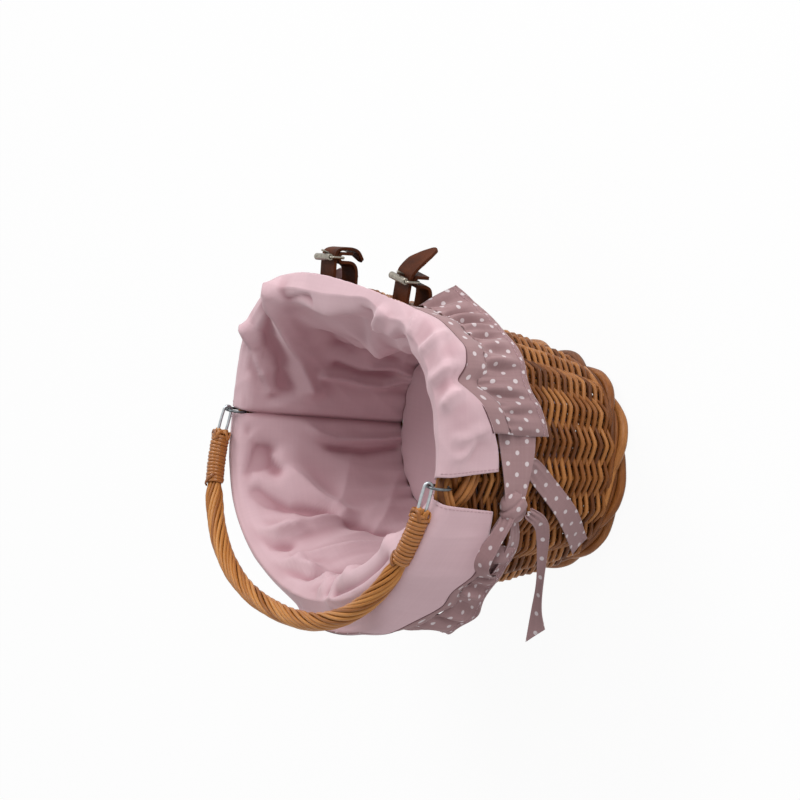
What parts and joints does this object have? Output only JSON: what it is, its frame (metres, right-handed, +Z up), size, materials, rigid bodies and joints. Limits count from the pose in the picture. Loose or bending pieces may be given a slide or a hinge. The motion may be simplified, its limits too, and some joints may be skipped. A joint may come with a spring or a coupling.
{
  "type": "bicycle basket",
  "caption": "Oval flared wicker basket with a cloth liner folded over the rim, gathered trim, side ties, a swinging twisted handle and buckled leather straps for a handlebar.",
  "frame": {"origin": "middle of the underside of the woven base, above the foot border that the basket stands on", "axes": "+Z up out of the mouth, -Y the front where the handle lies, +Y the back with the straps, +X and -X the sides that carry the handle"},
  "size_m": [0.3284, 0.2815, 0.2087],
  "materials": {
    "willow": "varnished brown willow rods",
    "pale_willow": "varnished honey willow rods",
    "cane": "satin split cane",
    "cotton": "plain woven cotton, dusty pink",
    "dotted_cotton": "woven cotton, dusty mauve with white dots",
    "leather": "dark brown harness leather",
    "zinc_wire": "dull zinc plated wire",
    "dark_wire": "dark bare wire",
    "nickel": "antique nickel"
  },
  "bodies": {
    "basket": {"woven_wall": "willow", "base_panel": "willow", "foot_border": "willow", "rim_border": "willow", "liner_front_panel": "cotton", "liner_back_panel": "cotton", "liner_floor": "cotton", "dot_band_front": "dotted_cotton", "dot_band_back_left": "dotted_cotton", "dot_band_back_right": "dotted_cotton", "ruffle_front": "dotted_cotton", "ruffle_back_left": "dotted_cotton", "ruffle_back_right": "dotted_cotton", "right_tie_knot": "dotted_cotton", "right_tie_back_ribbon": "dotted_cotton", "right_tie_front_ribbon": "dotted_cotton", "right_tie_long_tail": "dotted_cotton", "right_tie_wall_tail": "dotted_cotton", "right_tie_bow_loop": "dotted_cotton", "left_tie_knot": "dotted_cotton", "left_tie_back_ribbon": "dotted_cotton", "left_tie_front_ribbon": "dotted_cotton", "left_tie_long_tail": "dotted_cotton", "left_tie_wall_tail": "dotted_cotton", "left_tie_bow_loop": "dotted_cotton", "left_strap": "leather", "right_strap": "leather", "left_buckle_frame": "nickel", "right_buckle_frame": "nickel"},
    "handle": {"handle_bail": "pale_willow", "right_binding": "cane", "left_binding": "cane", "right_eye": "zinc_wire", "left_eye": "zinc_wire"},
    "right_ring": {"right_ring": "dark_wire"},
    "left_ring": {"left_ring": "dark_wire"},
    "left_roller": {"left_buckle_roller": "nickel"},
    "right_roller": {"right_buckle_roller": "nickel"},
    "left_prong": {"left_buckle_prong": "nickel"},
    "right_prong": {"right_buckle_prong": "nickel"}
  },
  "joints": [
    {"name": "handle_swing", "type": "hinge", "parent": "basket", "child": "handle", "pos_m": [0, 0, 0.1718], "axis": [-1, 0, 0], "range_deg": [0, 160]},
    {"name": "right_ring_turn", "type": "hinge", "parent": "basket", "child": "right_ring", "pos_m": [0.154, 0, 0.164], "axis": [0, 1, 0], "continuous": true},
    {"name": "left_ring_turn", "type": "hinge", "parent": "basket", "child": "left_ring", "pos_m": [-0.154, 0, 0.164], "axis": [0, 1, 0], "continuous": true},
    {"name": "left_roller_turn", "type": "hinge", "parent": "basket", "child": "left_roller", "pos_m": [-0.05593, 0.12953, 0.1576], "axis": [0.9948, 0.1018, 0], "continuous": true},
    {"name": "right_roller_turn", "type": "hinge", "parent": "basket", "child": "right_roller", "pos_m": [0.05593, 0.12953, 0.1576], "axis": [0.9948, -0.1018, 0], "continuous": true},
    {"name": "left_prong_lift", "type": "hinge", "parent": "basket", "child": "left_prong", "pos_m": [-0.05593, 0.12953, 0.14704], "axis": [-0.9948, -0.1018, 0], "range_deg": [0, 12]},
    {"name": "right_prong_lift", "type": "hinge", "parent": "basket", "child": "right_prong", "pos_m": [0.05593, 0.12953, 0.14704], "axis": [-0.9948, 0.1018, 0], "range_deg": [0, 12]}
  ]
}
